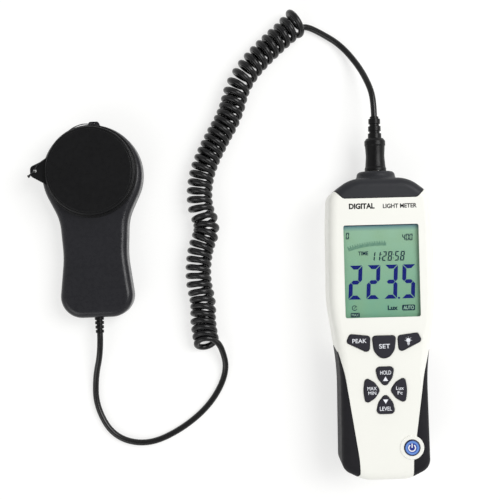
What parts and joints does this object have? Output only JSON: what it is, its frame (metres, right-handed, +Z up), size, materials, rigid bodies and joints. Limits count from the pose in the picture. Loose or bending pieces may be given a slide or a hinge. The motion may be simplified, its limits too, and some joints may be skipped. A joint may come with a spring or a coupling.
{
  "type": "light meter",
  "caption": "Hand-held digital light meter with a keypad and display, and a capped sensor head on a curly lead that plugs into its top.",
  "frame": {"origin": "centre, to within 1.5 mm, of the common footprint of the instrument and the sensor head, on the surface they lie on; the cord and its plug are not counted", "axes": "+X from the sensor head to the instrument, +Y along the instrument towards its socket, +Z up out of the display"},
  "size_m": [0.2382, 0.2809, 0.037],
  "materials": {
    "housing_plastic": "satin off-white moulded ABS",
    "grip_rubber": "soft charcoal elastomer",
    "cap_plastic": "charcoal moulded plastic",
    "key_rubber": "charcoal silicone with printed legends",
    "power_blue": "blue with a white power sign",
    "window_clear": "clear acrylic",
    "display_green": "grey-green liquid crystal with navy figures",
    "frame_plastic": "white plastic",
    "backlight_plastic": "translucent light guide",
    "board_green": "solder-masked glass epoxy",
    "chip_black": "moulded epoxy",
    "contact_metal": "nickel plated",
    "contact_gold": "gold flashed",
    "screw_steel": "zinc plated",
    "insert_brass": "turned and knurled",
    "battery_jacket": "plain printed jacket",
    "snap_plastic": "vinyl",
    "socket_plastic": "black nylon",
    "plug_plastic": "black satin PVC",
    "cord_pvc": "glossy black polyurethane",
    "head_plastic": "satin black ABS",
    "sensor_cap_plastic": "matt black soft plastic",
    "diffuser_white": "translucent white acrylic",
    "ring_black": "matt black",
    "diode_metal": "metal can",
    "filter_glass": "green photopic filter",
    "tether_thread": "thin black twisted thread",
    "wire_insulation": "red insulation"
  },
  "bodies": {
    "meter": {"front_housing": "housing_plastic", "rear_housing": "housing_plastic", "left_grip": "grip_rubber", "right_grip": "grip_rubber", "top_cap": "cap_plastic", "housing_screws": "screw_steel", "tripod_insert": "insert_brass", "display_window": "window_clear", "display_panel": "display_green", "display_frame": "frame_plastic", "backlight_plate": "backlight_plastic", "main_circuit_board": "board_green", "board_screws": "screw_steel", "circuit_chips": "chip_black", "buzzer": "chip_black", "snap_domes": "contact_metal", "battery": "battery_jacket", "battery_terminals": "contact_metal", "battery_snap": "snap_plastic", "battery_leads": "snap_plastic", "probe_socket": "socket_plastic", "socket_core": "socket_plastic", "socket_contacts": "contact_gold"},
    "probe": {"plug_body": "plug_plastic", "plug_shell": "contact_metal", "plug_pins": "contact_gold", "plug_boot": "plug_plastic", "lead_plug_side": "cord_pvc", "curly_cord": "cord_pvc", "lead_head_side": "cord_pvc", "head_boot": "plug_plastic", "head_upper_shell": "head_plastic", "head_lower_shell": "head_plastic", "head_screws": "screw_steel", "diffuser_dome": "diffuser_white", "diffuser_ring": "ring_black", "head_circuit_board": "board_green", "photodiode": "diode_metal", "filter_glass": "filter_glass", "head_wires": "wire_insulation", "cap_tether": "tether_thread"},
    "sensor_cap": {"sensor_cap": "sensor_cap_plastic"},
    "battery_door": {"battery_door": "housing_plastic"},
    "peak_key": {"peak_key": "key_rubber"},
    "set_key": {"set_key": "key_rubber"},
    "backlight_key": {"backlight_key": "key_rubber"},
    "hold_key": {"hold_key": "key_rubber"},
    "max_min_key": {"max_min_key": "key_rubber"},
    "unit_key": {"unit_key": "key_rubber"},
    "level_key": {"level_key": "key_rubber"},
    "power_key": {"power_key": "power_blue"}
  },
  "joints": [
    {"name": "probe_plug_slide", "type": "slide", "parent": "meter", "child": "probe", "axis": [0, 1, 0], "range_m": [0, 0.012]},
    {"name": "sensor_cap_lift", "type": "slide", "parent": "probe", "child": "sensor_cap", "axis": [0, 0, 1], "range_m": [0, 0.03], "deforming": ["cap_tether"]},
    {"name": "battery_door_slide", "type": "slide", "parent": "meter", "child": "battery_door", "axis": [0, -1, 0], "range_m": [0, 0.03]},
    {"name": "peak_key_press", "type": "slide", "parent": "meter", "child": "peak_key", "axis": [0, 0, -1], "range_m": [0, 0.0008], "stiffness_N_per_m": 1000, "springref_m": -0.0005},
    {"name": "set_key_press", "type": "slide", "parent": "meter", "child": "set_key", "axis": [0, 0, -1], "range_m": [0, 0.0008], "stiffness_N_per_m": 1000, "springref_m": -0.0005},
    {"name": "backlight_key_press", "type": "slide", "parent": "meter", "child": "backlight_key", "axis": [0, 0, -1], "range_m": [0, 0.0008], "stiffness_N_per_m": 1000, "springref_m": -0.0005},
    {"name": "hold_key_press", "type": "slide", "parent": "meter", "child": "hold_key", "axis": [0, 0, -1], "range_m": [0, 0.0008], "stiffness_N_per_m": 1000, "springref_m": -0.0005},
    {"name": "max_min_key_press", "type": "slide", "parent": "meter", "child": "max_min_key", "axis": [0, 0, -1], "range_m": [0, 0.0008], "stiffness_N_per_m": 1000, "springref_m": -0.0005},
    {"name": "unit_key_press", "type": "slide", "parent": "meter", "child": "unit_key", "axis": [0, 0, -1], "range_m": [0, 0.0008], "stiffness_N_per_m": 1000, "springref_m": -0.0005},
    {"name": "level_key_press", "type": "slide", "parent": "meter", "child": "level_key", "axis": [0, 0, -1], "range_m": [0, 0.0008], "stiffness_N_per_m": 1000, "springref_m": -0.0005},
    {"name": "power_key_press", "type": "slide", "parent": "meter", "child": "power_key", "axis": [0, 0, -1], "range_m": [0, 0.0008], "stiffness_N_per_m": 1000, "springref_m": -0.0005}
  ]
}
